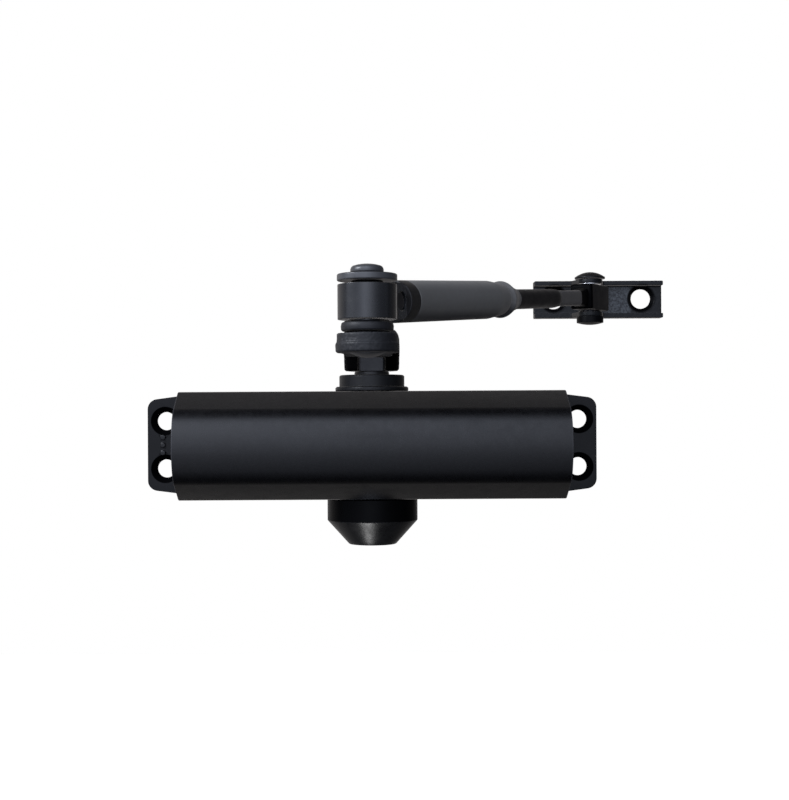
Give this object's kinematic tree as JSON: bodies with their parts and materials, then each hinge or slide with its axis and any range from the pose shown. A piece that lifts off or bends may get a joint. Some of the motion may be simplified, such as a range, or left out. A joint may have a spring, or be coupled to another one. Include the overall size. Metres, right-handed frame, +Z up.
{
  "type": "door closer",
  "caption": "Surface-mounted rack-and-pinion door closer with angled front body, bottom spindle cap, double-lever arm with adjustable rod, and channel bracket.",
  "frame": {"origin": "centre of the four body mounting holes, on the mounting face", "axes": "+X along the body towards the arm bracket, +Y into the door face (mounting face normal), +Z up along the spindle"},
  "size_m": [0.2057, 0.1673, 0.1056],
  "materials": {
    "powder_black": "black powder coat, fine orange peel",
    "powder_black_alloy": "black powder coat on die-cast alloy, fine orange peel",
    "black_plastic": "moulded cover, satin black",
    "cast_black": "rough black-painted casting",
    "satin_black_steel": "satin black enamel on turned steel",
    "bare_steel": "machined",
    "bright_steel": "ground",
    "spring_steel": "oiled",
    "brass": "turned",
    "nitrile": "moulded"
  },
  "bodies": {
    "closer_body": {"housing": "powder_black_alloy", "end_plug": "satin_black_steel", "end_plug_seal": "nitrile", "return_spring": "spring_steel", "upper_bearing": "bright_steel", "lower_bearing": "bright_steel", "upper_spindle_seal": "nitrile", "lower_spindle_seal": "nitrile", "upper_gland_nut": "satin_black_steel", "lower_gland_nut": "bare_steel", "bottom_cap": "black_plastic"},
    "piston": {"rack_piston": "bare_steel", "piston_seal": "nitrile", "check_retainer": "brass", "spring_seat": "bright_steel"},
    "check_ball": {"check_ball": "bright_steel"},
    "spindle_and_main_arm": {"pinion_spindle": "satin_black_steel", "main_arm": "cast_black", "hub_washer": "satin_black_steel", "hub_screw": "satin_black_steel", "elbow_rivet": "satin_black_steel", "elbow_washer": "satin_black_steel", "elbow_spacer_ring": "satin_black_steel"},
    "forearm": {"forearm_knuckle": "powder_black", "knuckle_pin": "bare_steel", "forearm_ferrule": "satin_black_steel", "forearm_tube": "powder_black", "forearm_collar": "satin_black_steel", "elbow_bush": "brass"},
    "adjusting_rod": {"adjusting_rod": "satin_black_steel"},
    "arm_bracket": {"bracket": "powder_black", "bracket_rivet": "satin_black_steel", "bracket_washers": "bright_steel"},
    "closing_valve": {"closing_valve": "brass", "closing_valve_seal": "nitrile"},
    "latching_valve": {"latching_valve": "brass", "latching_valve_seal": "nitrile"}
  },
  "joints": [
    {"name": "spindle_turn", "type": "hinge", "parent": "closer_body", "child": "spindle_and_main_arm", "pos_m": [0, -0.0185, 0.03], "axis": [0, 0, 1], "range_deg": [0, 160], "stiffness_Nm_per_rad": 2.2, "springref_deg": -114.59},
    {"name": "piston_slide", "type": "slide", "parent": "closer_body", "child": "piston", "axis": [1, 0, 0], "range_m": [0, 0.02096], "deforming": ["return_spring"]},
    {"name": "check_ball_lift", "type": "slide", "parent": "piston", "child": "check_ball", "axis": [-1, 0, 0], "range_m": [0, 0.0009]},
    {"name": "elbow_hinge", "type": "hinge", "parent": "spindle_and_main_arm", "child": "forearm", "pos_m": [-0.00122, -0.15799, 0.0441], "axis": [0, 0, 1], "range_deg": [-145, 30]},
    {"name": "rod_adjust", "type": "slide", "parent": "forearm", "child": "adjusting_rod", "axis": [0.5135, 0.8546, 0.0766], "range_m": [-0.02, 0.02]},
    {"name": "bracket_pivot", "type": "hinge", "parent": "adjusting_rod", "child": "arm_bracket", "pos_m": [0.08593, -0.01296, 0.0571], "axis": [0, 0, 1], "range_deg": [-100, 40]},
    {"name": "closing_valve_turn", "type": "hinge", "parent": "closer_body", "child": "closing_valve", "pos_m": [-0.07, -0.036, 0.007], "axis": [1, 0, 0], "range_deg": [-180, 360]},
    {"name": "latching_valve_turn", "type": "hinge", "parent": "closer_body", "child": "latching_valve", "pos_m": [-0.07, -0.036, -0.007], "axis": [1, 0, 0], "range_deg": [-180, 360]}
  ],
  "couplings": [
    {"joint": "piston_slide", "follows": "spindle_turn", "m_per_rad": 0.0075}
  ]
}
